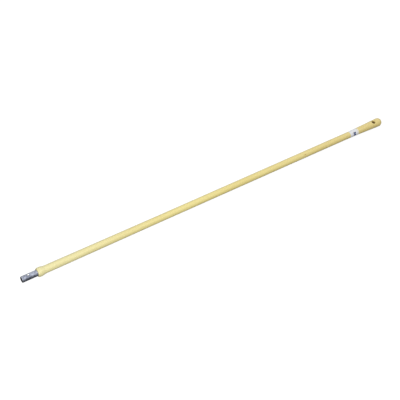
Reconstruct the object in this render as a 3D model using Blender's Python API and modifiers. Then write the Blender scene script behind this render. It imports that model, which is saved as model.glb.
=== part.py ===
"""A turned wooden roller extension pole with a quick-lock steel spigot at its front end.

The pole lies along X on the surface Z = 0. The spigot points towards -X and the butt towards +X,
and the snap button and the hanging hole point up. Sizes are in metres. A station is a distance
along the pole from the tip of the nose, and a height is a distance above the pole's axis.
"""

import math

import bpy

# Driving dimensions of the wood
WOOD_LENGTH = 1.524  # 60 inches
STOCK_RADIUS = 0.0167  # the turning blank, left at full size at the collar and the butt
SHAFT_RADIUS_FRONT = 0.0138  # 1 1/8 inch stock, sanded, behind the collar
SHAFT_RADIUS = 0.0125  # past the taper, up to the butt's swell
COLLAR_EDGE_HEIGHT = 0.0037  # the collar's rounded front edge, across the pole
COLLAR_EDGE_LENGTH = 0.009  # the same edge, along the pole
COLLAR_LAND = 0.003  # straight length behind that edge
COLLAR_FLARE = 0.018  # length over which the collar runs down to the shaft
TAPER_LENGTH = 0.45  # length of the shaft's taper, from the flare's end
BUTT_SWELL = 0.160  # length over which the shaft grows to the butt
SWELL_POWER = 1.4  # 1 would be a plain cone
HANG_HOLE_RADIUS = 0.00714  # 9/16 inch drill
HANG_HOLE_FROM_END = 0.041
HANG_HOLE_ROUNDING = 0.002

# Driving dimensions of the spigot
SPIGOT_REACH = 0.058  # from the nose to the collar's face
TUBE_RADIUS = 0.0111  # 7/8 inch tube
TUBE_WALL = 0.0016
TUBE_LIP = 0.0013  # rounding of the tube's front edge
TUBE_DEPTH = 0.005  # full-size tube that enters the wood before it is swaged down
SWAGE_LENGTH = 0.0036
NECK_RADIUS = 0.0085
NECK_LENGTH = 0.068
NOSE_THICKNESS = 0.0025
NOSE_ROUNDING = 0.0006
NOSE_SHANK_LENGTH = 0.009
NOSE_SHANK_WALL = 0.0018
NOSE_RIBS = 3
NOSE_RIB_PITCH = 0.0025

# Driving dimensions of the button and its spring
BUTTON_STATION = 0.0242
BUTTON_RADIUS = 0.0035
BUTTON_PROUD = 0.0044  # how far the button stands above the tube, which is also its travel
BUTTON_DOME = 0.003
FLANGE_RADIUS = 0.0048
FLANGE_TOP = 0.0078
FLANGE_THICKNESS = 0.001
TAIL_RADIUS = 0.0016
RIVET_RADIUS = 0.0026
RIVET_HEIGHT = 0.001
LEAF_WIDTH = 0.008
LEAF_THICKNESS = 0.0007
LEAF_FRONT = 0.0065  # how far both legs reach in front of the button
LEAF_FLAT = 0.008  # how far both legs run straight behind the button
LEAF_BEND = 0.033  # from the button to the centre of the V's bend
LEAF_BEND_RADIUS = 0.0022
LEAF_BOTTOM = -0.0078  # height of the lower leg, which rests on the tube's floor

# Driving dimensions of the screws
SCREW_STATIONS = {"front_screw": 0.095, "rear_screw": 0.120}
SCREW_RADIUS = 0.0018
SCREW_HEAD_RADIUS = 0.004
SCREW_LENGTH = 0.0115
SCREW_POINT = 0.002
SCREW_SUNK = 0.0007  # how far the head lies below the wood
RECESS_SIZE = (0.0042, 0.0009, 0.0032)

# Driving dimensions of the label
LABEL_FROM_END = 0.123  # from the butt's end to the label's rear edge
LABEL_LENGTH = 0.040
LABEL_THICKNESS = 0.00025
LABEL_SWEEP = math.radians(340)

# How the solids are made
GAP = 0.0003  # left between pieces that touch
MERGE = 0.00001
ROUND_STEPS = 48
SMALL_STEPS = 32
CUT_MARGIN = 0.004

# Worked out from the dimensions above
TOTAL_LENGTH = SPIGOT_REACH + WOOD_LENGTH
AXIS_HEIGHT = STOCK_RADIUS * math.cos(math.pi / ROUND_STEPS)  # the pole rests on a facet
DOME_CENTRE = TOTAL_LENGTH - STOCK_RADIUS
SWELL_START = DOME_CENTRE - BUTT_SWELL
LAND_START = SPIGOT_REACH + COLLAR_EDGE_LENGTH
FLARE_START = LAND_START + COLLAR_LAND
FLARE_END = FLARE_START + COLLAR_FLARE
TAPER_END = FLARE_END + TAPER_LENGTH
TUBE_INNER = TUBE_RADIUS - TUBE_WALL
SWAGE_START = SPIGOT_REACH + TUBE_DEPTH
SWAGE_END = SWAGE_START + SWAGE_LENGTH
TUBE_END = SWAGE_END + NECK_LENGTH
FLANGE_BOTTOM = FLANGE_TOP - FLANGE_THICKNESS
LEAF_TOP = FLANGE_BOTTOM - GAP


def clear_scene():
    for old in list(bpy.data.objects):
        bpy.data.objects.remove(old)


def new_collection(name):
    made = bpy.data.collections.new(name)
    bpy.context.scene.collection.children.link(made)
    return made


def material(name, colour, roughness, metallic=0.0):
    made = bpy.data.materials.new(name)
    made.use_nodes = True
    shader = made.node_tree.nodes["Principled BSDF"]
    shader.inputs["Base Color"].default_value = (*colour, 1.0)
    shader.inputs["Roughness"].default_value = roughness
    shader.inputs["Metallic"].default_value = metallic
    return made


def axis_empty(name, station, along_pole, parts):
    """A frame on the pole's axis. Along the pole, its Z runs to the butt and its X points up."""
    made = bpy.data.objects.new(name, None)
    made.location = (station - TOTAL_LENGTH / 2, 0.0, AXIS_HEIGHT)
    if along_pole:
        made.rotation_euler = (0.0, -math.pi / 2, math.pi)
    parts.objects.link(made)
    return made


def arc(centre, radii, start, end, count):
    """Points (radius, station) on an elliptical arc. Angles are degrees from the outward direction."""
    angles = [math.radians(start + (end - start) * i / count) for i in range(count + 1)]
    return [(centre[0] + radii[0] * math.cos(a), centre[1] + radii[1] * math.sin(a)) for a in angles]


def spread(start, end, count):
    return [start + (end - start) * i / count for i in range(count + 1)]


def turned(name, profile, steps, parent, collection, closed=False, sweep=math.tau):
    """A profile of (radius, station) points, turned round its parent's Z axis."""
    edges = [(i, i + 1) for i in range(len(profile) - 1)]
    if closed:
        edges.append((len(profile) - 1, 0))
    mesh = bpy.data.meshes.new(name)
    mesh.from_pydata([(radius, 0.0, station) for radius, station in profile], edges, [])
    made = bpy.data.objects.new(name, mesh)
    collection.objects.link(made)
    made.parent = parent
    made.rotation_euler.z = math.pi / steps  # a facet, and not an edge, faces up and down
    screw = made.modifiers.new("Turn", "SCREW")
    screw.angle = sweep
    screw.steps = screw.render_steps = steps
    screw.use_smooth_shade = True
    screw.use_merge_vertices = True
    screw.merge_threshold = MERGE
    return made


def box_cutter(name, size, parent, location, cutters):
    bpy.ops.mesh.primitive_cube_add(size=1, location=location)
    made = bpy.context.object
    made.name = name
    made.dimensions = size
    bpy.ops.object.transform_apply(location=False, rotation=False, scale=True)
    for holder in list(made.users_collection):
        holder.objects.unlink(made)
    cutters.objects.link(made)
    made.parent = parent
    return made


def cut(target, cutter):
    cutter.hide_render = True
    cutter.display_type = "WIRE"
    boolean = target.modifiers.new("Cut by " + cutter.name, "BOOLEAN")
    boolean.operation = "DIFFERENCE"
    boolean.solver = "EXACT"
    boolean.object = cutter


def shaft_radius(station):
    """The turned radius of the wood behind the collar's rounded edge."""
    if station < FLARE_START:
        return STOCK_RADIUS
    if station < FLARE_END:
        share = (1 + math.cos(math.pi * (station - FLARE_START) / COLLAR_FLARE)) / 2
        return SHAFT_RADIUS_FRONT + (STOCK_RADIUS - SHAFT_RADIUS_FRONT) * share
    if station < TAPER_END:
        share = (station - FLARE_END) / TAPER_LENGTH
        return SHAFT_RADIUS_FRONT + (SHAFT_RADIUS - SHAFT_RADIUS_FRONT) * share
    if station < SWELL_START:
        return SHAFT_RADIUS
    share = ((station - SWELL_START) / BUTT_SWELL) ** SWELL_POWER
    return SHAFT_RADIUS + (STOCK_RADIUS - SHAFT_RADIUS) * share


def make_pole_shaft(axis, parts):
    """The wooden pole: domed butt, swell, tapered shaft, flared collar and stepped blind bore."""
    swell = spread(DOME_CENTRE, SWELL_START, 10)[1:]
    shaft = spread(SWELL_START, TAPER_END, 4)[1:] + spread(TAPER_END, FLARE_END, 3)[1:]
    flare = spread(FLARE_END, FLARE_START, 8)[1:]
    edge_centre = (STOCK_RADIUS - COLLAR_EDGE_HEIGHT, LAND_START)
    profile = [(0.0, TOTAL_LENGTH)]
    profile += arc((0.0, DOME_CENTRE), (STOCK_RADIUS, STOCK_RADIUS), 90, 0, 9)[1:]
    profile += [(shaft_radius(s), s) for s in swell + shaft + flare]
    profile += arc(edge_centre, (COLLAR_EDGE_HEIGHT, COLLAR_EDGE_LENGTH), 0, -90, 6)
    profile += [
        (TUBE_RADIUS + GAP, SPIGOT_REACH),
        (TUBE_RADIUS + GAP, SWAGE_START + GAP),
        (NECK_RADIUS + GAP, SWAGE_END + GAP),
        (NECK_RADIUS + GAP, TUBE_END + GAP),
        (0.0, TUBE_END + NECK_RADIUS / 2),
    ]
    return turned("pole_shaft", profile, ROUND_STEPS, axis, parts)


def make_hang_hole_cutter(parent, cutters):
    """A vertical drill with a rounded mouth above and below."""
    rounding = HANG_HOLE_ROUNDING
    mouth_start = STOCK_RADIUS - rounding * 1.2
    centre = (HANG_HOLE_RADIUS + rounding, mouth_start)
    upper = [(0.0, STOCK_RADIUS + CUT_MARGIN), (centre[0], STOCK_RADIUS + CUT_MARGIN)]
    upper += arc(centre, (rounding, rounding), 90, 180, 5)
    lower = [(radius, -height) for radius, height in reversed(upper)]
    return turned("hang_hole_cutter", upper + lower, SMALL_STEPS, parent, cutters)


def make_spigot_tube(axis, button_axis, parts, cutters):
    """The steel tube: full size to just inside the collar, then swaged down to its neck."""
    outer = [(NECK_RADIUS, TUBE_END), (NECK_RADIUS, SWAGE_END), (TUBE_RADIUS, SWAGE_START)]
    lip = arc((TUBE_RADIUS - TUBE_LIP, TUBE_LIP), (TUBE_LIP, TUBE_LIP), 0, -90, 4)
    inner = [(radius - TUBE_WALL, station) for radius, station in reversed(outer)]
    profile = outer + lip + [(TUBE_INNER, 0.0)] + inner
    made = turned("spigot_tube", profile, ROUND_STEPS, axis, parts, closed=True)
    reach = TUBE_RADIUS + CUT_MARGIN
    window = [(0.0, reach), (BUTTON_RADIUS + GAP, reach), (BUTTON_RADIUS + GAP, 0.0), (0.0, 0.0)]
    cut(made, turned("button_window_cutter", window, SMALL_STEPS, button_axis, cutters))
    return made


def make_nose_plug(axis, parts):
    """A moulded plug pressed in flush with the tube's mouth: a solid head and a ribbed, hollow shank."""
    shank = TUBE_INNER - 2 * GAP
    rib = TUBE_INNER - GAP
    hollow = shank - NOSE_SHANK_WALL
    floor = NOSE_THICKNESS + GAP
    end = NOSE_THICKNESS + NOSE_SHANK_LENGTH
    profile = [(0.0, floor), (hollow, floor), (hollow, end), (shank - GAP, end)]
    for front in [end - NOSE_RIB_PITCH * (i + 1) for i in range(NOSE_RIBS)]:
        profile += [
            (shank, front + NOSE_RIB_PITCH * 0.8),
            (shank, front + NOSE_RIB_PITCH * 0.5),
            (rib, front + NOSE_RIB_PITCH * 0.4),
            (rib, front + NOSE_RIB_PITCH * 0.2),
        ]
    profile += [(shank, NOSE_THICKNESS), (rib, NOSE_THICKNESS)]
    profile += arc((rib - NOSE_ROUNDING, NOSE_ROUNDING), (NOSE_ROUNDING, NOSE_ROUNDING), 0, -90, 3)
    profile += [(0.0, 0.0)]
    return turned("nose_plug", profile, ROUND_STEPS, axis, parts)


def make_snap_button(button_axis, parts):
    """The button: a domed plunger, a flange that stops inside the tube and a riveted tail."""
    top = TUBE_RADIUS + BUTTON_PROUD
    dome_centre = (0.0, top - BUTTON_DOME)
    rivet_top = LEAF_TOP - LEAF_THICKNESS - GAP
    profile = [(0.0, top)]
    profile += arc(dome_centre, (BUTTON_RADIUS, BUTTON_DOME), 90, 0, 6)[1:]
    profile += [
        (BUTTON_RADIUS, FLANGE_TOP),
        (FLANGE_RADIUS, FLANGE_TOP),
        (FLANGE_RADIUS, FLANGE_BOTTOM),
        (TAIL_RADIUS, FLANGE_BOTTOM),
        (TAIL_RADIUS, rivet_top),
    ]
    profile += arc((0.0, rivet_top), (RIVET_RADIUS, RIVET_HEIGHT), 0, -90, 3)[:-1]
    profile += [(0.0, rivet_top - RIVET_HEIGHT)]
    return turned("snap_button", profile, SMALL_STEPS, button_axis, parts)


def leaf_path():
    """(station from the button, height) along the middle of the V spring's leaf."""
    upper = LEAF_TOP - LEAF_THICKNESS / 2
    bend_centre = (LEAF_BEND, (upper + LEAF_BOTTOM) / 2)
    bend = arc(bend_centre, (LEAF_BEND_RADIUS, LEAF_BEND_RADIUS), 75, -75, 6)
    upper_leg = [(-LEAF_FRONT, upper), (LEAF_FLAT, upper)]
    lower_leg = [(LEAF_FLAT, LEAF_BOTTOM), (-LEAF_FRONT, LEAF_BOTTOM)]
    return upper_leg + bend + lower_leg


def make_button_spring(button_axis, parts, cutters):
    """The V spring: a bent leaf with a hole for the button's tail."""
    path = leaf_path()
    half = LEAF_WIDTH / 2
    points = [(station, side, height) for station, height in path for side in (-half, half)]
    faces = [(2 * i, 2 * i + 1, 2 * i + 3, 2 * i + 2) for i in range(len(path) - 1)]
    mesh = bpy.data.meshes.new("button_spring")
    mesh.from_pydata(points, [], faces)
    made = bpy.data.objects.new("button_spring", mesh)
    parts.objects.link(made)
    made.parent = button_axis
    thickness = made.modifiers.new("Leaf", "SOLIDIFY")
    thickness.thickness = LEAF_THICKNESS
    thickness.offset = 0.0
    thickness.use_even_offset = True
    radius = TAIL_RADIUS + GAP
    above, below = FLANGE_TOP, LEAF_TOP - LEAF_THICKNESS - CUT_MARGIN / 2
    hole = [(0.0, above), (radius, above), (radius, below), (0.0, below)]
    cut(made, turned("tail_hole_cutter", hole, SMALL_STEPS, button_axis, cutters))
    return made


def screw_profile(head_radius, shank_radius, sunk, length):
    """A countersunk screw that points up from below the pole: heights run down to its head."""
    return [
        (0.0, length),
        (shank_radius / 4, length),
        (shank_radius, length - SCREW_POINT),
        (shank_radius, sunk + head_radius - shank_radius),
        (head_radius, sunk),
        (0.0, sunk),
    ]


def make_screw(name, station, wood, tube, parts, cutters):
    """A countersunk screw on the pole's underside, with its holes in the wood and the tube."""
    surface = axis_empty(name + "_axis", station, False, parts)
    surface.location.z -= shaft_radius(station)
    profile = screw_profile(SCREW_HEAD_RADIUS, SCREW_RADIUS, SCREW_SUNK, SCREW_LENGTH)
    made = turned(name, profile, SMALL_STEPS, surface, parts)
    head, shank = SCREW_HEAD_RADIUS + GAP, SCREW_RADIUS + GAP
    clear = screw_profile(head, shank, SCREW_SUNK - GAP, SCREW_LENGTH + 5 * GAP)
    clear[-1:] = [(head, -CUT_MARGIN), (0.0, -CUT_MARGIN)]
    hole = turned(name + "_cutter", clear, SMALL_STEPS, surface, cutters)
    cut(wood, hole)
    cut(tube, hole)
    along, across, depth = RECESS_SIZE
    for turn, size in enumerate(((along, across, depth), (across, along, depth))):
        place = (0.0, 0.0, SCREW_SUNK)
        cut(made, box_cutter(f"{name}_recess_{turn}", size, surface, place, cutters))
    return made


def make_size_label(axis, parts):
    """The paper label, wrapped round the pole with its seam underneath."""
    rear = TOTAL_LENGTH - LABEL_FROM_END
    profile = [(shaft_radius(s) + GAP, s) for s in spread(rear, rear - LABEL_LENGTH, 5)]
    made = turned("size_label", profile, ROUND_STEPS, axis, parts, sweep=LABEL_SWEEP)
    made.rotation_euler.z = math.tau - LABEL_SWEEP / 2
    thickness = made.modifiers.new("Paper", "SOLIDIFY")
    thickness.thickness = LABEL_THICKNESS
    thickness.offset = 1.0
    return made


def main():
    clear_scene()
    parts = new_collection("roller_extension_pole")
    cutters = new_collection("cutters")
    axis = axis_empty("pole_axis", 0.0, True, parts)
    button_axis = axis_empty("button_axis", BUTTON_STATION, False, parts)
    hang_axis = axis_empty("hang_hole_axis", TOTAL_LENGTH - HANG_HOLE_FROM_END, False, parts)

    wood = make_pole_shaft(axis, parts)
    tube = make_spigot_tube(axis, button_axis, parts, cutters)
    nose = make_nose_plug(axis, parts)
    button = make_snap_button(button_axis, parts)
    spring = make_button_spring(button_axis, parts, cutters)
    label = make_size_label(axis, parts)
    screws = [
        make_screw(name, station, wood, tube, parts, cutters)
        for name, station in SCREW_STATIONS.items()
    ]
    cut(wood, make_hang_hole_cutter(hang_axis, cutters))

    wood.data.materials.append(material("lacquered_wood", (0.80, 0.62, 0.28), 0.35))
    tube.data.materials.append(material("zinc_plated_steel", (0.42, 0.43, 0.48), 0.35, 1.0))
    nose.data.materials.append(material("nose_plastic", (0.05, 0.055, 0.065), 0.5))
    button.data.materials.append(material("nickel_plate", (0.85, 0.85, 0.83), 0.15, 1.0))
    spring.data.materials.append(material("spring_steel", (0.35, 0.36, 0.38), 0.4, 1.0))
    label.data.materials.append(material("label_paper", (0.92, 0.92, 0.90), 0.6))
    for screw in screws:
        screw.data.materials.append(material(screw.name, (0.62, 0.60, 0.52), 0.3, 1.0))


main()
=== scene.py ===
"""The looks of the roller extension pole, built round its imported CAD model.

The pole lies along X on the floor Z = 0, with its steel spigot towards -X and its butt towards +X.
Each CAD node is replaced by a finer mesh of the same size, in the same place. Lengths are in metres.
A station is a distance along the pole from its nose, a height is a distance above the pole's axis,
and a profile is a list of (station, radius) rows.
"""

import math

import bmesh
import bpy
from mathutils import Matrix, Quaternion, Vector


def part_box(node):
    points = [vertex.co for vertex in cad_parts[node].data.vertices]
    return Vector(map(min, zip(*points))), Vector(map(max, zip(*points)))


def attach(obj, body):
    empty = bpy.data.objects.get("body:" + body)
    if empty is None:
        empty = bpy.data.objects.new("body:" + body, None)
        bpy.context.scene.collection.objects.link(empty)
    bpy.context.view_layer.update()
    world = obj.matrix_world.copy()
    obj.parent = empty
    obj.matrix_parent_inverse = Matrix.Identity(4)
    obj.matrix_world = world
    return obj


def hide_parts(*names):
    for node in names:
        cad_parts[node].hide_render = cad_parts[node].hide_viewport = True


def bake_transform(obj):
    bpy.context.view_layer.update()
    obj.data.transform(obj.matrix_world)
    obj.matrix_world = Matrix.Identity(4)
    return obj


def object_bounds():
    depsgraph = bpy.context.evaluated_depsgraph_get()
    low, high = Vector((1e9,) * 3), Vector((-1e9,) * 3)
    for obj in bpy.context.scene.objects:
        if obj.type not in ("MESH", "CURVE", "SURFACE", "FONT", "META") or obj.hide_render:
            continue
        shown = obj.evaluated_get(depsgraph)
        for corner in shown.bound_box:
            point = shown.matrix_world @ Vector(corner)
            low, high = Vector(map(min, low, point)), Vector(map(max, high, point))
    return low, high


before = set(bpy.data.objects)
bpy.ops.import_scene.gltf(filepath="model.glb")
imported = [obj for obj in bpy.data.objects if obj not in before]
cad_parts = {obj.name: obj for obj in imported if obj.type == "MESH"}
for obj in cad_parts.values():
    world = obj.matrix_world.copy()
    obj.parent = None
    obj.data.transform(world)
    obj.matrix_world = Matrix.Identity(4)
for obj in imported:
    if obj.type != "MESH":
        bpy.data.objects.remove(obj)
CAD_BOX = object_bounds()

# Places and sizes that the frame gives
WOOD_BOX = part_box("pole_shaft")
TUBE_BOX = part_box("spigot_tube")
BUTTON_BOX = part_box("snap_button")
LABEL_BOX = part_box("size_label")
NOSE_X = CAD_BOX[0].x
BUTT_X = CAD_BOX[1].x
LENGTH = BUTT_X - NOSE_X
AXIS_Z = (TUBE_BOX[0].z + TUBE_BOX[1].z) / 2
CAD_ROUND_STEPS = 48
FACET = math.cos(math.pi / CAD_ROUND_STEPS)  # a CAD circle's box is its facets' width
STOCK_RADIUS = (WOOD_BOX[1].y - WOOD_BOX[0].y) / 2 / FACET
TUBE_RADIUS = (TUBE_BOX[1].y - TUBE_BOX[0].y) / 2 / FACET
REACH = WOOD_BOX[0].x - NOSE_X
TUBE_END = TUBE_BOX[1].x - NOSE_X
BUTTON_STATION = (BUTTON_BOX[0].x + BUTTON_BOX[1].x) / 2 - NOSE_X
LABEL_FRONT = LABEL_BOX[0].x - NOSE_X
LABEL_REAR = LABEL_BOX[1].x - NOSE_X

# The wood's shape, as in the CAD
SHAFT_RADIUS_FRONT = 0.0138
SHAFT_RADIUS = 0.0125
COLLAR_EDGE_HEIGHT = 0.0037
COLLAR_EDGE_LENGTH = 0.009
COLLAR_LAND = 0.003
COLLAR_FLARE = 0.018
TAPER_LENGTH = 0.45
BUTT_SWELL = 0.160
SWELL_POWER = 1.4
HANG_STATION = LENGTH - 0.041
HANG_RADIUS = 0.00714
HANG_ROUNDING = 0.002
LAND_START = REACH + COLLAR_EDGE_LENGTH
FLARE_START = LAND_START + COLLAR_LAND
FLARE_END = FLARE_START + COLLAR_FLARE
TAPER_END = FLARE_END + TAPER_LENGTH
DOME_CENTRE = LENGTH - STOCK_RADIUS
SWELL_START = DOME_CENTRE - BUTT_SWELL

# The spigot's shape, as in the CAD
TUBE_WALL = 0.0016
TUBE_LIP = 0.0013
SWAGE_START = REACH + 0.005
SWAGE_END = SWAGE_START + 0.0036
NECK_RADIUS = 0.0085
BUTTON_RADIUS = 0.0035
BUTTON_DOME = 0.003
LEAF_THICKNESS = 0.0007
CAD_GAP = 0.0003  # the gap between touching pieces in the CAD
FIT = 0.0001  # the finer gap between pieces that are pressed together here

# How the meshes are made
COLUMNS = 96
SMALL_COLUMNS = 48
WINDOW_ROWS = 8


def spread(start, end, count):
    return [start + (end - start) * i / count for i in range(count + 1)]


def along(radius_at, start, end, count):
    """Profile rows at even stations on a surface whose radius is a function of the station."""
    return [(station, radius_at(station)) for station in spread(start, end, count)]


def arc(centre, radii, start, end, count):
    """Profile rows on an elliptical arc. Angles are degrees from straight out, positive to the rear."""
    angles = [math.radians(angle) for angle in spread(start, end, count)]
    return [(centre[0] + radii[0] * math.sin(a), centre[1] + radii[1] * math.cos(a)) for a in angles]


def blend_over(value, start, end):
    """0 before start, 1 after end, and a smooth step between them."""
    share = min(max((value - start) / (end - start), 0.0), 1.0)
    return share * share * (3 - 2 * share)


def on_pole(station, radius, angle):
    """A place round the pole's axis. The angle runs from straight up towards -Y."""
    x = NOSE_X + station
    return Vector((x, -radius * math.sin(angle), AXIS_Z + radius * math.cos(angle)))


def upright(x):
    """A place function for pieces turned round the vertical line at x."""
    return lambda height, radius, angle: Vector(
        (x + radius * math.cos(angle), radius * math.sin(angle), AXIS_Z + height)
    )


# Mesh work


def add_rows(rows, more):
    """Adds rows to a profile and returns the numbers of the first and the last of them."""
    rows += more
    return len(rows) - len(more), len(rows) - 1


def window_cells(window, columns):
    """The grid cells that a window leaves open: (first row, last row, columns to each side, side)."""
    first, last, half, side = window
    middle = 0 if side > 0 else columns // 2
    return {(row, (middle + k) % columns) for row in range(first, last) for k in range(-half, half)}


def turned(mesh, rows, place=on_pole, columns=COLUMNS, windows=(), closed=False):
    """Faces along a profile that is turned full circle, left open at the windows. Returns its vertices."""
    angles = [math.tau * column / columns for column in range(columns)]
    grid = [[mesh.verts.new(place(*row, angle)) for angle in angles] for row in rows]
    skipped = set().union(*(window_cells(window, columns) for window in windows))
    for row in range(len(rows) if closed else len(rows) - 1):
        near, far = grid[row], grid[(row + 1) % len(rows)]
        for column in range(columns):
            if (row, column) not in skipped:
                beside = (column + 1) % columns
                mesh.faces.new((near[column], near[beside], far[beside], far[column]))
    return grid


def rim(grid, window):
    """The vertices round a window."""
    first, last, half, side = window
    columns = len(grid[0])
    middle = 0 if side > 0 else columns // 2
    across = [(middle + k) % columns for k in range(-half, half + 1)]
    ends = [grid[row][column] for row in (first, last) for column in across]
    sides = [grid[row][across[i]] for row in range(first + 1, last) for i in (0, -1)]
    return ends + sides


def bridge(mesh, ring, other):
    for i in range(len(ring)):
        j = (i + 1) % len(ring)
        mesh.faces.new((ring[i], ring[j], other[j], other[i]))


def cap(mesh, ring, centre):
    """Closes a ring with triangles to a centre point."""
    middle = mesh.verts.new(centre)
    for i in range(len(ring)):
        mesh.faces.new((ring[i], ring[(i + 1) % len(ring)], middle))


def circle(mesh, count, station, radius, height):
    """A level ring of vertices round a vertical hole, from +X towards +Y."""
    turns = [math.tau * i / count for i in range(count)]
    middle = Vector((NOSE_X + station, 0.0, AXIS_Z + height))
    return [mesh.verts.new(middle + Vector((radius * math.cos(a), radius * math.sin(a), 0))) for a in turns]


def mouth(mesh, grid, window, station, radius, rounding, radius_at):
    """Faces from a window's rim in to a round vertical hole with a rounded edge.

    The window lies on a turned surface whose radius is a function of the station. Returns the ring
    where the hole's straight wall starts, in the same order as circle().
    """
    side = window[3]
    nudge = 1e-5  # keeps the vertex that lies straight behind the hole first

    def direction(vertex):
        return (math.atan2(vertex.co.y, vertex.co.x - NOSE_X - station) + nudge) % math.tau

    ring = sorted(rim(grid, window), key=direction)
    edge = radius + rounding
    starts = [Vector((v.co.x - NOSE_X - station, v.co.y)) for v in ring]
    turns = [math.tau * i / len(ring) for i in range(len(ring))]
    goals = [Vector((math.cos(a), math.sin(a))) for a in turns]
    flat_rings, round_rings = 4, 5
    plans = [([s.lerp(g * edge, k / flat_rings) for s, g in zip(starts, goals)], 0.0)
             for k in range(1, flat_rings + 1)]
    for angle in spread(0, math.pi / 2, round_rings)[1:]:
        reach = radius + rounding * (1 - math.sin(angle))
        plans.append(([g * reach for g in goals], rounding * (1 - math.cos(angle))))
    for plan, drop in plans:
        inner = []
        for x, y in plan:
            height = math.sqrt(radius_at(station + x) ** 2 - y * y) - drop
            inner.append(mesh.verts.new((NOSE_X + station + x, y, AXIS_Z + side * height)))
        bridge(mesh, ring, inner)
        ring = inner
    return ring


def new_object(name, mesh, sharp_degrees=40):
    """A smooth-shaded object from a bmesh, which it frees."""
    loose = [vertex for vertex in mesh.verts if not vertex.link_faces]
    bmesh.ops.delete(mesh, geom=loose, context="VERTS")
    bmesh.ops.recalc_face_normals(mesh, faces=mesh.faces)
    data = bpy.data.meshes.new(name)
    mesh.to_mesh(data)
    mesh.free()
    data.shade_smooth()
    data.set_sharp_from_angle(angle=math.radians(sharp_degrees))
    made = bpy.data.objects.new(name, data)
    bpy.context.scene.collection.objects.link(made)
    return made


def apply_modifiers(piece):
    """Replaces a piece's mesh by the mesh that its modifiers make."""
    evaluated = piece.evaluated_get(bpy.context.evaluated_depsgraph_get())
    data = bpy.data.meshes.new_from_object(evaluated)
    piece.modifiers.clear()
    piece.data = data


def dress(piece, material, node):
    """Gives a piece its material and hides the CAD node that it stands for."""
    piece.data.materials.clear()
    piece.data.materials.append(material)
    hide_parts(node)


# The wooden pole


def shaft_radius(station):
    if station < LAND_START:
        rise = math.sqrt(max(1 - ((LAND_START - station) / COLLAR_EDGE_LENGTH) ** 2, 0.0))
        return STOCK_RADIUS - COLLAR_EDGE_HEIGHT * (1 - rise)
    if station < FLARE_START:
        return STOCK_RADIUS
    if station < FLARE_END:
        share = (1 + math.cos(math.pi * (station - FLARE_START) / COLLAR_FLARE)) / 2
        return SHAFT_RADIUS_FRONT + (STOCK_RADIUS - SHAFT_RADIUS_FRONT) * share
    if station < TAPER_END:
        share = (station - FLARE_END) / TAPER_LENGTH
        return SHAFT_RADIUS_FRONT + (SHAFT_RADIUS - SHAFT_RADIUS_FRONT) * share
    if station < SWELL_START:
        return SHAFT_RADIUS
    share = ((station - SWELL_START) / BUTT_SWELL) ** SWELL_POWER
    return SHAFT_RADIUS + (STOCK_RADIUS - SHAFT_RADIUS) * share


def tube_radius(station):
    """The outside of the tube behind its lip."""
    share = min(max((station - SWAGE_START) / (SWAGE_END - SWAGE_START), 0.0), 1.0)
    return TUBE_RADIUS + (NECK_RADIUS - TUBE_RADIUS) * share


def tube_inner(station):
    return tube_radius(station) - TUBE_WALL


def bore_radius(station):
    return tube_radius(station) + FIT


# The screws' shape, as in the CAD
SCREW_RADIUS = 0.0018
SCREW_HEAD_RADIUS = 0.004
SCREW_LENGTH = 0.0115
SCREW_SUNK = 0.0007
SINK_DEPTH = 0.0009  # where the countersink's cone starts, above the wood's lowest line

# The windows round their holes in the wood and the tube
SCREW_WINDOW_HALF = 6  # columns to each side
SCREW_WINDOW_OUTSIDE = 0.005  # half the window's length on the wood's outside
SCREW_WINDOW_INSIDE = 0.004  # the same in the bore and in the tube


def screw_station(node):
    low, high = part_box(node)
    return (low.x + high.x) / 2 - NOSE_X


SCREWS = {node: screw_station(node) for node in ("front_screw", "rear_screw")}


def screw_hole(mesh, grid, outside, inside, station):
    """A countersunk hole in the pole's underside, from the window outside to the one in the bore."""
    shank = SCREW_RADIUS + CAD_GAP
    head = SCREW_HEAD_RADIUS + CAD_GAP
    surface = shaft_radius(station)
    upper = mouth(mesh, grid, outside, station, head, FIT, shaft_radius)
    sink = circle(mesh, len(upper), station, head, SINK_DEPTH - surface)
    neck = circle(mesh, len(upper), station, shank, SINK_DEPTH + head - shank - surface)
    inner = mouth(mesh, grid, inside, station, shank, FIT, bore_radius)
    bridge(mesh, upper, sink)
    bridge(mesh, sink, neck)
    bridge(mesh, neck, inner)


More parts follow.
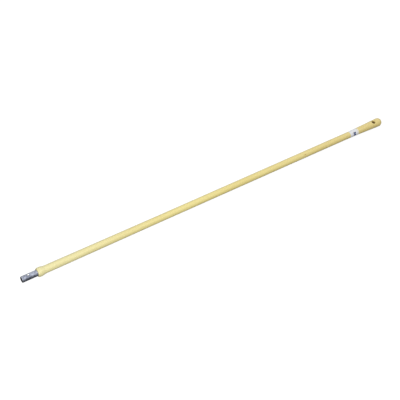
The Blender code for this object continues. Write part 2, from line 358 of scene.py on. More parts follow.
def make_wood():
    """The turned pole with its stepped bore, hanging hole and countersunk screw holes."""
    rows = []
    inside = {}
    edge = 0.0004  # rounding of the bore's mouth
    add_rows(rows, [(TUBE_END + FIT, NECK_RADIUS / 2)])
    start = TUBE_END + FIT
    for node, station in sorted(SCREWS.items(), key=lambda item: -item[1]):
        far, near = station + SCREW_WINDOW_INSIDE, station - SCREW_WINDOW_INSIDE
        add_rows(rows, along(bore_radius, start, far, 4)[:-1])
        first, last = add_rows(rows, along(bore_radius, far, near, WINDOW_ROWS))
        inside[node] = (first, last, SCREW_WINDOW_HALF, -1)
        start = near - FIT
    add_rows(rows, along(bore_radius, start, SWAGE_END, 4)[1:])
    add_rows(rows, along(bore_radius, SWAGE_START, REACH + edge, 2)[:-1])
    bore = bore_radius(REACH)
    add_rows(rows, arc((REACH + edge, bore + edge), (edge, edge), 180, 270, 4))
    face_edge = STOCK_RADIUS - COLLAR_EDGE_HEIGHT
    add_rows(rows, [(REACH, radius) for radius in spread(bore + edge, face_edge, 3)[1:-1]])
    edge_radii = (COLLAR_EDGE_LENGTH, COLLAR_EDGE_HEIGHT)
    add_rows(rows, arc((LAND_START, face_edge), edge_radii, -90, 0, 14))
    add_rows(rows, [(FLARE_START, STOCK_RADIUS)])
    add_rows(rows, along(shaft_radius, FLARE_START, FLARE_END, 18)[1:])
    outside = {}
    start = FLARE_END
    for node, station in sorted(SCREWS.items(), key=lambda item: item[1]):
        near, far = station - SCREW_WINDOW_OUTSIDE, station + SCREW_WINDOW_OUTSIDE
        add_rows(rows, along(shaft_radius, start, near, 2)[1:-1])
        first, last = add_rows(rows, along(shaft_radius, near, far, WINDOW_ROWS))
        outside[node] = (first, last, SCREW_WINDOW_HALF, -1)
        start = far
    add_rows(rows, along(shaft_radius, start, TAPER_END, 48)[1:])
    add_rows(rows, along(shaft_radius, TAPER_END, SWELL_START, 80)[1:])
    reach = 0.0115  # half the length of the hanging hole's windows
    near, far = HANG_STATION - reach, HANG_STATION + reach
    add_rows(rows, along(shaft_radius, SWELL_START, near, 28)[1:-1])
    first, last = add_rows(rows, along(shaft_radius, near, far, 14))
    above, below = ((first, last, 10, side) for side in (1, -1))
    add_rows(rows, along(shaft_radius, far, DOME_CENTRE, 5)[1:-1])
    add_rows(rows, arc((DOME_CENTRE, 0.0), (STOCK_RADIUS, STOCK_RADIUS), 0, 90, 20)[:-1])

    mesh = bmesh.new()
    windows = [above, below, *inside.values(), *outside.values()]
    grid = turned(mesh, rows, windows=windows)
    cap(mesh, grid[0], on_pole(TUBE_END + NECK_RADIUS / 4, 0.0, 0.0))
    cap(mesh, grid[-1], on_pole(LENGTH, 0.0, 0.0))
    hang = [
        mouth(mesh, grid, window, HANG_STATION, HANG_RADIUS, HANG_ROUNDING, shaft_radius)
        for window in (above, below)
    ]
    bridge(mesh, *hang)
    for node, station in SCREWS.items():
        screw_hole(mesh, grid, outside[node], inside[node], station)
    return new_object("turned_pole", mesh)


# The steel spigot


def make_tube():
    """The tube with its rounded lip, button window, swaged neck and screw holes."""
    reach = 0.005  # half the length of the button's window
    half = 8  # columns to each side of that window's middle
    soft = 0.0002  # bevel of the mouth's inner edge
    outer_edge, inner_edge = 0.0002, 0.0001  # roundings of the holes' edges
    lip = arc((TUBE_LIP, TUBE_RADIUS - TUBE_LIP), (TUBE_LIP, TUBE_LIP), -90, 0, 8)
    rows = lip[:-1]
    sides = {}

    def wall(radius_at, stations, stretches):
        """One side of the tube's wall, in stretches between stations. Returns each name's rows."""
        spans = {}
        for start, end, (count, name) in zip(stations, stations[1:], stretches):
            first, last = add_rows(rows, along(radius_at, start, end, count)[:-1])
            spans[name] = (first, last + 1)
        return spans

    front, rear = SCREWS["front_screw"], SCREWS["rear_screw"]
    stations = [TUBE_LIP, BUTTON_STATION - reach, BUTTON_STATION + reach, SWAGE_START, SWAGE_END]
    stations += [front - SCREW_WINDOW_INSIDE, front + SCREW_WINDOW_INSIDE]
    stations += [rear - SCREW_WINDOW_INSIDE, rear + SCREW_WINDOW_INSIDE, TUBE_END]
    # The rows of each stretch, and its name if it is a window
    stretches = [(8, ""), (10, "button"), (12, ""), (1, ""), (6, "")]
    stretches += [(WINDOW_ROWS, "front_screw"), (8, ""), (WINDOW_ROWS, "rear_screw"), (8, "")]
    sides["outside"] = wall(tube_radius, stations, stretches)
    rows.append((TUBE_END, tube_radius(TUBE_END)))
    stations[0] = soft
    sides["inside"] = wall(tube_inner, stations[::-1], stretches[::-1])
    rows += [(soft, tube_inner(0.0)), (0.0, tube_inner(0.0) + soft)]

    windows = {}
    for side, spans in sides.items():
        windows[side, "button"] = (*spans["button"], half, 1)
        for node in SCREWS:
            windows[side, node] = (*spans[node], SCREW_WINDOW_HALF, -1)
    mesh = bmesh.new()
    grid = turned(mesh, rows, windows=windows.values(), closed=True)
    holes = {"button": (BUTTON_STATION, BUTTON_RADIUS + FIT)}
    for node, station in SCREWS.items():
        holes[node] = (station, SCREW_RADIUS + CAD_GAP)
    for name, (station, radius) in holes.items():
        outer = mouth(mesh, grid, windows["outside", name], station, radius, outer_edge, tube_radius)
        inner = mouth(mesh, grid, windows["inside", name], station, radius, inner_edge, tube_inner)
        bridge(mesh, outer, inner)
    return new_object("steel_spigot", mesh)


def make_plug():
    """The moulded plug, flush in the tube's mouth: a dished face, a rounded edge and a ribbed shank."""
    head = tube_inner(0.0) - FIT
    rounding, thickness, shank_end = 0.0006, 0.0025, 0.0115
    shank, hollow = head - 0.0004, head - 0.0022
    rib_count, rib_pitch, rib_start = 3, 0.0025, 0.0006
    rib_outline = ((0.1, shank), (0.25, head), (0.4, head), (0.6, shank))
    dish_radius, dish_depth, dish_rounding = 0.0066, 0.00025, 0.0002
    gate_radius, gate_depth = 0.0006, 0.0002  # the moulding's mark in the middle of the dish
    rows = [(gate_depth, gate_radius), (dish_depth, 0.0009), (dish_depth, dish_radius - 0.0004)]
    rows += arc((dish_rounding, dish_radius), (dish_rounding, dish_rounding), -180, -90, 4)
    rows += arc((rounding, head - rounding), (rounding, rounding), -90, 0, 6)
    rows += [(thickness, head), (thickness + 0.0003, shank)]
    for i in range(rib_count):
        rib = thickness + rib_start + rib_pitch * i
        rows += [(rib + share * rib_pitch, radius) for share, radius in rib_outline]
    rows += [(shank_end, shank), (shank_end, hollow), (thickness, hollow)]
    mesh = bmesh.new()
    grid = turned(mesh, rows)
    cap(mesh, grid[0], on_pole(gate_depth, 0.0, 0.0))
    cap(mesh, grid[-1], on_pole(thickness, 0.0, 0.0))
    return new_object("end_plug", mesh)


# The button and its spring, as in the CAD

FLANGE_TOP = 0.0078
FLANGE_RADIUS = 0.0048
FLANGE_THICKNESS = 0.001
TAIL_RADIUS = 0.0016
RIVET_RADIUS = 0.0026
RIVET_HEIGHT = 0.001
LEAF_TOP = FLANGE_TOP - FLANGE_THICKNESS - CAD_GAP


def make_button():
    """The domed plunger with its flange and riveted tail."""
    top = BUTTON_BOX[1].z - AXIS_Z
    rivet_top = LEAF_TOP - LEAF_THICKNESS - CAD_GAP
    soft = 0.0003  # rounding of the flange's edges
    rows = arc((top - BUTTON_DOME, 0.0), (BUTTON_DOME, BUTTON_RADIUS), 90, 0, 14)[1:]
    rows += [(FLANGE_TOP + soft, BUTTON_RADIUS), (FLANGE_TOP, BUTTON_RADIUS + soft)]
    rows += arc((FLANGE_TOP - soft, FLANGE_RADIUS - soft), (soft, soft), 90, 0, 3)
    flange_bottom = FLANGE_TOP - FLANGE_THICKNESS
    rows += arc((flange_bottom + soft, FLANGE_RADIUS - soft), (soft, soft), 0, -90, 3)
    rows += [(flange_bottom, TAIL_RADIUS), (rivet_top, TAIL_RADIUS)]
    rows += arc((rivet_top, 0.0), (RIVET_HEIGHT, RIVET_RADIUS), 0, -90, 6)[:-1]
    mesh = bmesh.new()
    place = upright(NOSE_X + BUTTON_STATION)
    grid = turned(mesh, rows, place, SMALL_COLUMNS)
    cap(mesh, grid[0], place(top, 0.0, 0.0))
    cap(mesh, grid[-1], place(rivet_top - RIVET_HEIGHT, 0.0, 0.0))
    return new_object("button_plunger", mesh)


LEAF_WIDTH = 0.008
LEAF_CORNER = 0.0018  # rounding of the leaf's tips, seen from above
LEAF_FRONT = 0.0065
LEAF_FLAT = 0.008
LEAF_BEND = 0.033
LEAF_BEND_RADIUS = 0.0022
LEAF_BOTTOM = -0.0078
LEAF_WINDOW = 0.0036  # half the length of the window round the tail's hole


def leaf_line():
    """(distance behind the button, height) along the middle of the V, from its upper to its lower tip."""
    upper = LEAF_TOP - LEAF_THICKNESS / 2
    tip = [-LEAF_FRONT + LEAF_CORNER * (1 - math.cos(math.radians(a))) for a in (0, 20, 40, 65, 90)]
    flat = spread(-LEAF_WINDOW, LEAF_WINDOW, 8) + spread(LEAF_WINDOW, LEAF_FLAT, 3)[1:]
    middle = (upper + LEAF_BOTTOM) / 2
    bend = [
        (LEAF_BEND + LEAF_BEND_RADIUS * math.cos(a), middle + LEAF_BEND_RADIUS * math.sin(a))
        for a in (math.radians(degrees) for degrees in spread(75, -75, 16))
    ]

    def leg(end, height):
        """Points on the straight slope from the flat part to an end of the bend."""
        x, end_height = end
        return [
            (LEAF_FLAT + (x - LEAF_FLAT) * share, height + (end_height - height) * share)
            for share in spread(0, 1, 12)[1:-1]
        ]

    line = [(x, upper) for x in tip + flat]
    line += leg(bend[0], upper) + bend + list(reversed(leg(bend[-1], LEAF_BOTTOM)))
    line += [(x, LEAF_BOTTOM) for x in reversed(tip + flat)]
    return line


def make_spring():
    """The V-shaped leaf, with rounded tips and a hole for the button's tail."""
    line = leaf_line()
    x0 = NOSE_X + BUTTON_STATION
    across = spread(-1, 1, 8)

    def half_width(distance):
        inset = LEAF_CORNER - (distance + LEAF_FRONT)
        if inset <= 0:
            return LEAF_WIDTH / 2
        return LEAF_WIDTH / 2 - LEAF_CORNER + math.sqrt(max(LEAF_CORNER**2 - inset**2, 0.0))

    mesh = bmesh.new()
    grid = [
        [mesh.verts.new((x0 + x, side * half_width(x), AXIS_Z + height)) for side in across]
        for x, height in line
    ]
    upper = line[0][1]
    open_rows = [
        i for i, (x, height) in enumerate(line)
        if height == upper and abs(x) < LEAF_WINDOW - 1e-6
    ]
    first, last = open_rows[0] - 1, open_rows[-1] + 1
    for row in range(len(grid) - 1):
        for column in range(len(across) - 1):
            if not (first <= row < last and 0 < column < len(across) - 2):
                near, far = grid[row], grid[row + 1]
                mesh.faces.new((near[column], near[column + 1], far[column + 1], far[column]))
    ends = [v for row in (first, last) for v in grid[row][1:-1]]
    sides = [grid[row][column] for row in range(first + 1, last) for column in (1, -2)]
    ring = sorted(ends + sides, key=lambda v: (math.atan2(v.co.y, v.co.x - x0) + 1e-5) % math.tau)
    hole = circle(mesh, len(ring), BUTTON_STATION, TAIL_RADIUS + FIT, upper)
    bridge(mesh, ring, hole)
    piece = new_object("leaf_spring", mesh)
    thickness = piece.modifiers.new("Leaf", "SOLIDIFY")
    thickness.thickness = LEAF_THICKNESS
    thickness.offset = 0.0
    bevel = piece.modifiers.new("Rolled edges", "BEVEL")
    bevel.width = 0.00012
    bevel.segments = 2
    bevel.angle_limit = math.radians(50)
    apply_modifiers(piece)
    return piece


# The screws


def recess_cutter(name, station, base):
    """A cross-shaped punch that narrows as it goes up into a screw's head."""
    arm, half_slot, depth = 0.0021, 0.0005, 0.0026
    mesh = bmesh.new()
    rings = []
    for share, shrink in ((-0.2, 1.0), (0.0, 1.0), (0.6, 0.72), (1.0, 0.2)):
        reach, corner = arm * shrink, half_slot * shrink
        quarter = [(reach, -corner), (reach, corner), (corner, corner)]
        ring = []
        for turn in range(4):
            cos, sin = round(math.cos(turn * math.pi / 2)), round(math.sin(turn * math.pi / 2))
            ring += [(x * cos - y * sin, x * sin + y * cos) for x, y in quarter]
        z = AXIS_Z + base + share * depth
        rings.append([mesh.verts.new((NOSE_X + station + x, y, z)) for x, y in ring])
    for ring, other in zip(rings, rings[1:]):
        bridge(mesh, ring, other)
    for ring in (rings[0], rings[-1]):
        mesh.faces.new(ring)
    return new_object(name, mesh)


def make_screw(node):
    """A countersunk wood screw with a cross recess, which points up into the pole."""
    station = SCREWS[node]
    surface = -shaft_radius(station)
    base = surface + SCREW_SUNK
    head, core = SCREW_HEAD_RADIUS, SCREW_RADIUS * 0.72
    soft, rim_height = 0.0001, 0.0002
    cone_height = head - SCREW_RADIUS
    cone_end = base + rim_height + cone_height
    tip = surface + SCREW_LENGTH
    point_length, point_share = 0.003, 0.12
    pitch, rows_per_turn = 0.0016, 12
    place = upright(NOSE_X + station)

    def threaded(height, radius, angle):
        """The screw's surface: plain up to the cone's end, then a ridge that climbs with the angle."""
        if height > cone_end:
            turns = (height - cone_end) / pitch - angle / math.tau
            ridge = abs(2 * (turns % 1.0) - 1) ** 3
            taper = 1 - blend_over(height, tip - point_length, tip)
            radius = (core + (SCREW_RADIUS - core) * ridge) * (point_share + (1 - point_share) * taper)
        return place(height, radius, angle)

    rows = [(base, share * (head - soft)) for share in spread(0.1, 1, 6)]
    rows += [(base + soft, head), (base + rim_height, head)]
    rows += [
        (cone_end - (1 - share) * cone_height, head - share * cone_height)
        for share in spread(0, 1, 5)[1:]
    ]
    count = round((tip - cone_end) / pitch * rows_per_turn)
    rows += [(height, core) for height in spread(cone_end + 0.0005, tip - soft, count)]
    mesh = bmesh.new()
    grid = turned(mesh, rows, threaded, SMALL_COLUMNS)
    cap(mesh, grid[0], place(base, 0.0, 0.0))
    cap(mesh, grid[-1], place(tip, 0.0, 0.0))
    piece = new_object(node + "_threaded", mesh)

    cutter = recess_cutter(node + "_recess", station, base)
    cut = piece.modifiers.new("Recess", "BOOLEAN")
    cut.object = cutter
    cut.solver = "EXACT"
    apply_modifiers(piece)
    bpy.data.objects.remove(cutter)
    piece.data.shade_smooth()
    piece.data.set_sharp_from_angle(angle=math.radians(30))
    return piece


# The label


def make_label():
    """Paper wound once round the swell. Its seam is underneath, and one end lies over the other."""
    paper, glue, overlap = 0.00013, 0.00004, math.radians(14)
    sweep = math.tau + overlap
    rise_start, rise_end = math.tau - 0.12, math.tau + 0.02  # where the end climbs over the start
    steps_round, steps_along = 120, 16
    mesh = bmesh.new()

    def sheet(lift):
        """One face of the paper, in rows along the pole."""
        grid = []
        for station in spread(LABEL_FRONT, LABEL_REAR, steps_along):
            row = []
            for turn in spread(0, sweep, steps_round):
                climb = blend_over(turn, rise_start, rise_end) * (paper + glue)
                radius = shaft_radius(station) + glue + lift + climb
                row.append(mesh.verts.new(on_pole(station, radius, math.pi + turn - overlap / 2)))
            grid.append(row)
        return grid

    under, over = sheet(0.0), sheet(paper)
    for grid in (under, over):
        for near, far in zip(grid, grid[1:]):
            for i in range(steps_round):
                mesh.faces.new((near[i], near[i + 1], far[i + 1], far[i]))
    edges = [(under[0], over[0]), (under[-1], over[-1])]
    edges += [([row[i] for row in under], [row[i] for row in over]) for i in (0, -1)]
    for low, high in edges:
        for i in range(len(low) - 1):
            mesh.faces.new((low[i], low[i + 1], high[i + 1], high[i]))
    return new_object("paper_label", mesh)


# Materials


class Graph:
    """Builds one material's nodes. Its methods take numbers or sockets and return a socket."""

    def __init__(self, name):
        self.material = bpy.data.materials.new(name)
        self.material.use_nodes = True
        self.tree = self.material.node_tree
        self.shader = self.tree.nodes["Principled BSDF"]
        self.place = self.add("ShaderNodeTexCoord").outputs["Object"]
        parts = self.add("ShaderNodeSeparateXYZ", {0: self.place}).outputs
        self.x, self.y, self.z = parts["X"], parts["Y"], parts["Z"]
        self.height = self.sum(self.z, -AXIS_Z)

    def add(self, kind, inputs=None, **settings):
        node = self.tree.nodes.new(kind)
        for name, value in settings.items():
            setattr(node, name, value)
        for name, value in (inputs or {}).items():
            self.feed(node.inputs[name], value)
        return node

    def feed(self, socket, value):
        if isinstance(value, bpy.types.NodeSocket):
            self.tree.links.new(value, socket)
        else:
            socket.default_value = value

    def set(self, **inputs):
        """Sets the shader's inputs. A name's underscores stand for spaces."""
        for name, value in inputs.items():
            self.feed(self.shader.inputs[name.replace("_", " ")], value)

    def math(self, operation, *values):
        node = self.add("ShaderNodeMath", dict(enumerate(values)), operation=operation)
        return node.outputs[0]

    def sum(self, first, *others):
        for other in others:
            first = self.math("ADD", first, other)
        return first

    def times(self, first, *others):
        for other in others:
            first = self.math("MULTIPLY", first, other)
        return first

    def weigh(self, base, *shares):
        """A base plus each layer times its share."""
        return self.sum(base, *(self.times(layer, share) for layer, share in shares))

    def step(self, value, start, end, low=0.0, high=1.0):
        """A smooth step from low to high as the value goes from start to end."""
        inputs = {0: value, 1: start, 2: end, 3: low, 4: high}
        return self.add("ShaderNodeMapRange", inputs, interpolation_type="SMOOTHSTEP").outputs[0]

    def noise(self, along, across, detail=2.0, roughness=0.5, shift=0.0):
        """Noise with that many features per metre along the pole and across it."""
        inputs = {"Vector": self.place, "Scale": (along, across, across), "Location": (shift,) * 3}
        scaled = self.add("ShaderNodeMapping", inputs)
        inputs = {"Vector": scaled.outputs[0], "Scale": 1.0, "Detail": detail, "Roughness": roughness}
        return self.add("ShaderNodeTexNoise", inputs).outputs[0]

    def mix(self, factor, first, second):
        inputs = {0: factor, 6: self.colour(first), 7: self.colour(second)}
        return self.add("ShaderNodeMix", inputs, data_type="RGBA").outputs[2]

    def darken(self, colour, factor, tint):
        """Multiplies a colour by a tint, as far as the factor says."""
        inputs = {0: factor, 6: self.colour(colour), 7: self.colour(tint)}
        return self.add("ShaderNodeMix", inputs, data_type="RGBA", blend_type="MULTIPLY").outputs[2]

    def colour(self, value):
        return value if isinstance(value, bpy.types.NodeSocket) else (*value, 1.0)

    def distance(self, x, y, height=None, stretch=1.0):
        """The distance from a point, or without a height from the vertical line through it."""
        dx = self.times(self.sum(self.x, -x), stretch)
        dy = self.sum(self.y, -y)
        total = self.sum(self.times(dx, dx), self.times(dy, dy))
        if height is not None:
            dz = self.sum(self.height, -height)
            total = self.sum(total, self.times(dz, dz))
        return self.math("SQRT", total)

    def bump(self, height, depth, strength=1.0):
        """Feeds a height from 0 to 1 into the shader's normal, as deep as depth in metres."""
        inputs = {"Height": height, "Distance": depth, "Strength": strength}
        links = self.shader.inputs["Normal"].links
        if links:
            inputs["Normal"] = links[0].from_socket
        self.set(Normal=self.add("ShaderNodeBump", inputs).outputs[0])


KNOT_STATION = 1.194
KNOT_ANGLE = math.radians(35)


def wood_material():
    """Pale straight-grained hardwood under clear lacquer: a solid texture, so the ends show end grain."""
    g = Graph("lacquered_wood")
    knot = on_pole(KNOT_STATION, shaft_radius(KNOT_STATION), KNOT_ANGLE)
    from_knot = g.distance(knot.x, knot.y, knot.z - AXIS_Z, stretch=0.55)
    round_knot = g.step(from_knot, 0.0, 0.008, 1.0, 0.0)

    pith_y, pith_height, ring_width = -0.085, -0.06, 0.0023
    wander = g.times(g.sum(g.noise(1.6, 18, 2.0), -0.5), 0.012)
    slope_y = g.times(g.x, 0.0035)
    slope_z = g.times(g.x, -0.002)
    ring_y = g.sum(g.y, -pith_y, slope_y)
    ring_z = g.sum(g.height, -pith_height, slope_z)
    radius = g.math("SQRT", g.sum(g.times(ring_y, ring_y), g.times(ring_z, ring_z)))
    radius = g.sum(radius, wander, g.times(round_knot, 0.0025))
    phase = g.math("FRACT", g.math("DIVIDE", radius, ring_width))
    ring = g.times(g.step(phase, 0.25, 0.93), g.step(phase, 0.93, 1.0, 1.0, 0.0))

    streaks = g.noise(14, 1100, 3.0, 0.6)
    fibres = g.noise(55, 3800, 2.0, 0.5, shift=3.0)
    pores = g.step(g.noise(130, 4600, 1.0, 0.4, shift=7.0), 0.63, 0.72)
    blotch = g.noise(4.5, 26, 2.0, 0.5, shift=11.0)

    # Painted light: paler and less yellow towards the nose, standing in for the lacquer's sheen and the
    # stronger light at the front end, and deeper towards the butt, where the light is weaker.
    to_middle = g.step(g.x, NOSE_X - 0.1, NOSE_X + 0.8)
    to_butt = g.step(g.x, NOSE_X + 0.7, BUTT_X)
    tone_and_painted_front_light = g.mix(to_middle, (0.715, 0.68, 0.375), (0.725, 0.635, 0.25))
    tone_and_painted_front_light = g.mix(to_butt, tone_and_painted_front_light, (0.715, 0.60, 0.245))
    depth = g.weigh(-0.62, (ring, 0.34), (streaks, 0.62), (fibres, 0.34), (blotch, 0.5))
    colour = g.darken(tone_and_painted_front_light, g.math("MAXIMUM", depth, 0.0), (0.78, 0.66, 0.46))
    colour = g.darken(colour, g.times(pores, 0.42), (0.50, 0.36, 0.20))

    butt_end = g.step(g.x, BUTT_X - 0.013, BUTT_X - 0.002)
    collar_face = g.step(g.x, NOSE_X + REACH + 0.0012, NOSE_X + REACH)
    end_grain = g.math("MAXIMUM", butt_end, collar_face)
    colour = g.darken(colour, g.times(end_grain, 0.55), (0.78, 0.66, 0.50))
    from_hole = g.distance(NOSE_X + HANG_STATION, 0.0)
    in_hole = g.step(from_hole, HANG_RADIUS + 0.0007, HANG_RADIUS + 0.0001)
    # Painted shade: the hanging hole's wall gets darker the deeper it goes, where shade falls inside the
    # hole.
    painted_hole_shade = g.step(g.math("ABSOLUTE", g.height), 0.015, 0.004)
    colour = g.darken(colour, g.times(in_hole, painted_hole_shade), (0.34, 0.22, 0.11))
    core = g.step(from_knot, 0.0006, 0.0011, 1.0, 0.0)
    halo = g.step(from_knot, 0.0009, 0.0030, 1.0, 0.0)
    colour = g.darken(colour, g.times(halo, 0.6), (0.72, 0.50, 0.28))
    colour = g.darken(colour, g.times(core, 0.9), (0.34, 0.18, 0.09))

    lathe_pitch = 0.0007
    lathe = g.math("SINE", g.times(g.sum(g.x, g.times(blotch, 0.001)), math.tau / lathe_pitch))
    roughness = g.weigh(0.30, (streaks, 0.14), (pores, 0.12), (end_grain, 0.12), (in_hole, 0.2))
    g.set(Base_Color=colour, Roughness=roughness)
    g.set(Coat_Weight=0.22, Coat_Roughness=0.22, Specular_IOR_Level=0.5)
    grain = g.weigh(0.0, (streaks, 0.5), (fibres, 0.3), (ring, 0.2), (pores, -0.9))
    g.bump(grain, 0.00005, 0.8)
    g.bump(lathe, 0.000004, 0.6)
    return g.material


def steel_material():
    """Dull cloudy zinc plate with drawing lines, scratches and a weld seam; lighter at the lip from wear
    and a painted highlight, and lighter towards the collar from a painted reflection.
    """
    g = Graph("zinc_plated_steel")
    cloud = g.noise(90, 140, 4.0, 0.6)
    drawn = g.noise(12, 2600, 3.0, 0.6, shift=2.0)
    scratch = g.step(g.noise(45, 3400, 1.0, 0.3, shift=5.0), 0.66, 0.72)
    spangle = g.noise(420, 420, 2.0, 0.5, shift=9.0)
    lip = g.step(g.x, NOSE_X + 0.0042, NOSE_X + 0.0012)
    below = g.step(g.height, 0.0, -0.002)
    seam = g.times(g.step(g.math("ABSOLUTE", g.y), 0.0006, 0.0002), below)

    colour = g.mix(g.step(cloud, 0.40, 0.60), (0.19, 0.208, 0.27), (0.42, 0.45, 0.545))
    colour = g.mix(g.times(drawn, 0.25), colour, (0.38, 0.41, 0.49))
    colour = g.mix(g.times(scratch, 0.5), colour, (0.50, 0.52, 0.57))
    # Painted reflection, not wear: the tube gets lighter and bluer towards the collar, standing in for a
    # lamp's reflection there.
    wear_and_painted_reflection = g.step(g.x, NOSE_X + 0.020, NOSE_X + 0.050, 0.0, 0.6)
    colour = g.mix(g.times(wear_and_painted_reflection, g.step(cloud, 0.35, 0.55, 0.4, 1.0)), colour, (0.52, 0.55, 0.64))
    # Lighter at the lip: edge wear, and partly a painted highlight along the rounded lip.
    colour = g.mix(g.times(lip, 0.5), colour, (0.44, 0.46, 0.52))
    colour = g.darken(colour, g.times(seam, 0.5), (0.5, 0.5, 0.5))
    roughness = g.weigh(0.22, (cloud, 0.16), (spangle, 0.08), (scratch, 0.06), (lip, 0.14))
    g.set(Base_Color=colour, Roughness=roughness, Metallic=1.0)
    g.bump(g.weigh(0.0, (drawn, 0.7), (spangle, 0.5), (scratch, -0.6)), 0.000025, 0.7)
    g.bump(seam, 0.0001, 0.5)
    return g.material


def plug_material():
    """Matt black moulding with a fine spark-eroded grain and scuffs."""
    g = Graph("nose_plastic")
    grain = g.noise(5200, 5200, 2.0, 0.6)
    scuff = g.step(g.noise(600, 900, 3.0, 0.7, shift=4.0), 0.58, 0.70)
    colour = g.mix(g.times(scuff, 0.35), (0.022, 0.024, 0.029), (0.085, 0.088, 0.095))
    g.set(Base_Color=colour, Roughness=g.weigh(0.40, (grain, 0.15), (scuff, 0.12)))
    g.bump(grain, 0.00002, 0.7)
    return g.material


def nickel_material():
    """Bright nickel plate with hairline scratches and a faint cloudiness."""
    g = Graph("nickel_plate")
    hair = g.step(g.noise(700, 5200, 1.0, 0.3), 0.62, 0.70)
    cloud = g.noise(500, 500, 3.0, 0.6, shift=6.0)
    colour = g.mix(cloud, (0.92, 0.915, 0.90), (0.98, 0.975, 0.96))
    g.set(Base_Color=colour, Roughness=g.weigh(0.24, (hair, 0.12), (cloud, 0.10)), Metallic=1.0)
    g.bump(hair, 0.000006, 0.5)
    return g.material


def spring_material():
    """Oiled blue-grey spring steel with rolling lines."""
    g = Graph("spring_steel")
    rolled = g.noise(40, 3000, 3.0, 0.6)
    cloud = g.noise(200, 260, 3.0, 0.6, shift=8.0)
    colour = g.mix(cloud, (0.20, 0.21, 0.235), (0.34, 0.35, 0.37))
    g.set(Base_Color=colour, Roughness=g.weigh(0.22, (rolled, 0.18), (cloud, 0.1)), Metallic=1.0)
    g.bump(rolled, 0.00001, 0.6)
    return g.material


def screw_material():
    """Yellow-passivated zinc, worn to grey in patches."""
    g = Graph("screw_steel")
    cloud = g.noise(700, 700, 3.0, 0.6)
    # Real wear: patches of the yellow zinc rubbed to grey.
    wear_and_painted_reflection = g.step(g.noise(1500, 1500, 2.0, 0.6, shift=5.0), 0.5, 0.66)
    colour = g.mix(cloud, (0.60, 0.53, 0.34), (0.74, 0.68, 0.48))
    colour = g.mix(g.times(wear_and_painted_reflection, 0.5), colour, (0.66, 0.66, 0.66))
    g.set(Base_Color=colour, Roughness=g.weigh(0.22, (cloud, 0.14), (wear_and_painted_reflection, 0.08)), Metallic=1.0)
    g.bump(cloud, 0.00001, 0.5)
    return g.material


def label_material():
    """White coated paper with a navy tile, a pale band across the tile and a cream line at the rear."""
    g = Graph("label_paper")
    radius = shaft_radius((LABEL_FRONT + LABEL_REAR) / 2)
    angle = g.math("ARCTAN2", g.times(g.y, -1.0), g.height)
    middle_x = NOSE_X + (LABEL_FRONT + LABEL_REAR) / 2
    mark_angle = math.radians(57)
    tile_x, tile_y, band_y = 0.0056, 0.0072, 0.0019  # half sizes, along and round the pole
    corner, soft = 0.0014, 0.00012  # rounding of the tile's corners, and blur of the printed edges
    dx = g.math("ABSOLUTE", g.sum(g.x, -middle_x))
    dy = g.math("ABSOLUTE", g.times(g.sum(angle, -mark_angle), radius))
    over_x = g.math("MAXIMUM", g.sum(dx, corner - tile_x), 0.0)
    over_y = g.math("MAXIMUM", g.sum(dy, corner - tile_y), 0.0)
    outside = g.math("SQRT", g.sum(g.times(over_x, over_x), g.times(over_y, over_y)))
    tile = g.step(outside, corner + soft, corner - soft)
    band = g.times(tile, g.step(dy, band_y + soft, band_y - soft))
    rear = NOSE_X + LABEL_REAR
    behind_start = g.step(g.x, rear - 0.0050, rear - 0.0048)
    before_end = g.step(g.x, rear - 0.0014, rear - 0.0016)
    line = g.times(behind_start, before_end)

    pulp = g.noise(900, 900, 4.0, 0.6)
    mottle = g.noise(160, 160, 3.0, 0.5, shift=3.0)
    paper = g.mix(mottle, (0.64, 0.645, 0.655), (0.68, 0.685, 0.69))
    colour = g.mix(g.times(line, 0.85), paper, (0.68, 0.63, 0.42))
    colour = g.mix(g.times(tile, 0.97), colour, (0.010, 0.018, 0.075))
    colour = g.mix(g.times(band, 0.97), colour, (0.30, 0.35, 0.52))
    g.set(Base_Color=colour, Roughness=g.weigh(0.42, (pulp, 0.12), (tile, -0.08)))
    g.bump(pulp, 0.00002, 0.5)
    return g.material


# Stage, light and camera


def make_floor():
    """A plain white floor. It doesn't light the pole from below, so the pole keeps its shaded underside."""
    size, drop = 30, 0.00005  # it lies just below the pole's lowest line
    bpy.ops.mesh.primitive_plane_add(size=size, location=(0, 0, -drop))
    floor = bpy.context.object
    floor.name = "floor"
    floor.visible_diffuse = False
    floor.visible_glossy = False
    paint = bpy.data.materials.new("white_floor")
    paint.use_nodes = True
    shader = paint.node_tree.nodes["Principled BSDF"]
    shader.inputs["Base Color"].default_value = (0.22, 0.22, 0.22, 1)
    shader.inputs["Roughness"].default_value = 1.0
    shader.inputs["Specular IOR Level"].default_value = 0.0
    shader.inputs["Emission Color"].default_value = (1, 1, 1, 1)
    shader.inputs["Emission Strength"].default_value = 0.88
    floor.data.materials.append(paint)


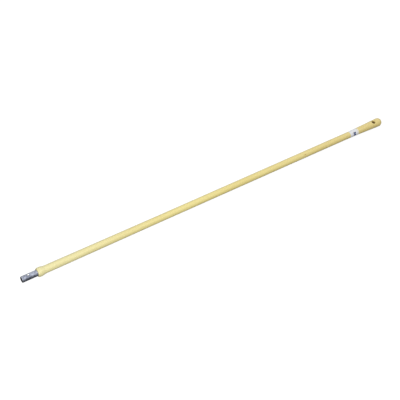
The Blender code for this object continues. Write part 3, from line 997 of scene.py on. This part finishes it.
def make_world():
    """A pale studio ceiling. It is dim below the horizon and low down on the camera's side."""
    world = bpy.data.worlds.new("studio")
    bpy.context.scene.world = world
    world.use_nodes = True
    tree = world.node_tree
    background = tree.nodes["Background"]
    direction = tree.nodes.new("ShaderNodeTexCoord").outputs["Generated"]

    def lit(towards, start, end, dim):
        """A smooth step from dim to 1 as the view direction turns towards a vector."""
        turn = tree.nodes.new("ShaderNodeVectorMath")
        turn.operation = "DOT_PRODUCT"
        turn.inputs[1].default_value = towards
        tree.links.new(direction, turn.inputs[0])
        step = tree.nodes.new("ShaderNodeMapRange")
        step.interpolation_type = "SMOOTHSTEP"
        tree.links.new(turn.outputs["Value"], step.inputs[0])
        for socket, value in zip(step.inputs[1:5], (start, end, dim, 1.0)):
            socket.default_value = value
        return step.outputs[0]

    product = tree.nodes.new("ShaderNodeMath")
    product.operation = "MULTIPLY"
    tree.links.new(lit((0, 0, 1), -0.08, 0.10, 0.4), product.inputs[0])
    tree.links.new(lit((0, 0.5, 1), 0.0, 0.5, 0.35), product.inputs[1])
    tree.links.new(product.outputs[0], background.inputs["Strength"])
    background.inputs["Color"].default_value = (0.99, 1.0, 1.015, 1)


SOFT_BOXES = (
    # name, place, where it points, width, length, watts
    ("overhead", (-0.2, -0.45, 1.4), (-0.2, 0.0, 0.0), 1.5, 1.9, 3.6),
    ("side", (-2.0, -2.4, 1.7), (-0.2, 0.0, 0.0), 0.8, 0.8, 60),
)


def make_lights():
    for name, place, target, width, length, watts in SOFT_BOXES:
        light = bpy.data.lights.new(name, "AREA")
        light.shape = "RECTANGLE"
        light.size = length
        light.size_y = width
        light.energy = watts
        lamp = bpy.data.objects.new(name, light)
        bpy.context.scene.collection.objects.link(lamp)
        lamp.location = place
        lamp.rotation_mode = "QUATERNION"
        lamp.rotation_quaternion = (Vector(target) - Vector(place)).to_track_quat("-Z", "Y")


CAMERA_AZIMUTH = math.radians(-43.7)
CAMERA_ELEVATION = math.radians(51.4)
CAMERA_TILT = math.radians(12.888)
CAMERA_DISTANCE = 3.819
CAMERA_AIM = (-0.07189, 0.00305)
CAMERA_VIEW = math.radians(21.4)


def make_camera():
    data = bpy.data.cameras.new("camera")
    data.sensor_width = 36.0
    data.lens = data.sensor_width / 2 / math.tan(CAMERA_VIEW / 2)
    camera = bpy.data.objects.new("camera", data)
    bpy.context.scene.collection.objects.link(camera)
    level = math.cos(CAMERA_ELEVATION)
    x, y = math.sin(CAMERA_AZIMUTH) * level, -math.cos(CAMERA_AZIMUTH) * level
    back = Vector((x, y, math.sin(CAMERA_ELEVATION)))
    camera.location = Vector((*CAMERA_AIM, AXIS_Z)) + back * CAMERA_DISTANCE
    camera.rotation_mode = "QUATERNION"
    camera.rotation_quaternion = (-back).to_track_quat("-Z", "Y") @ Quaternion((0, 0, 1), CAMERA_TILT)
    bpy.context.scene.camera = camera


def main():
    make_camera()
    make_floor()
    make_world()
    make_lights()
    bpy.context.scene.view_settings.view_transform = "Standard"

    pieces = [
        (make_wood(), wood_material(), "lacquered_wood", "pole_shaft", "pole"),
        (make_tube(), steel_material(), "zinc_plated_steel", "spigot_tube", "pole"),
        (make_plug(), plug_material(), "nose_plastic", "nose_plug", "pole"),
        (make_button(), nickel_material(), "nickel_plate", "snap_button", "button"),
        (make_label(), label_material(), "label_paper", "size_label", "pole"),
    ]
    screws = screw_material()
    pieces += [(make_screw(node), screws, "screw_steel", node, "pole") for node in SCREWS]
    for piece, material, slot, node, body in pieces:
        dress(piece, material, node)
        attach(piece, body)

    spring = make_spring()
    dress(spring, spring_material(), "button_spring")
    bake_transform(spring)


main()
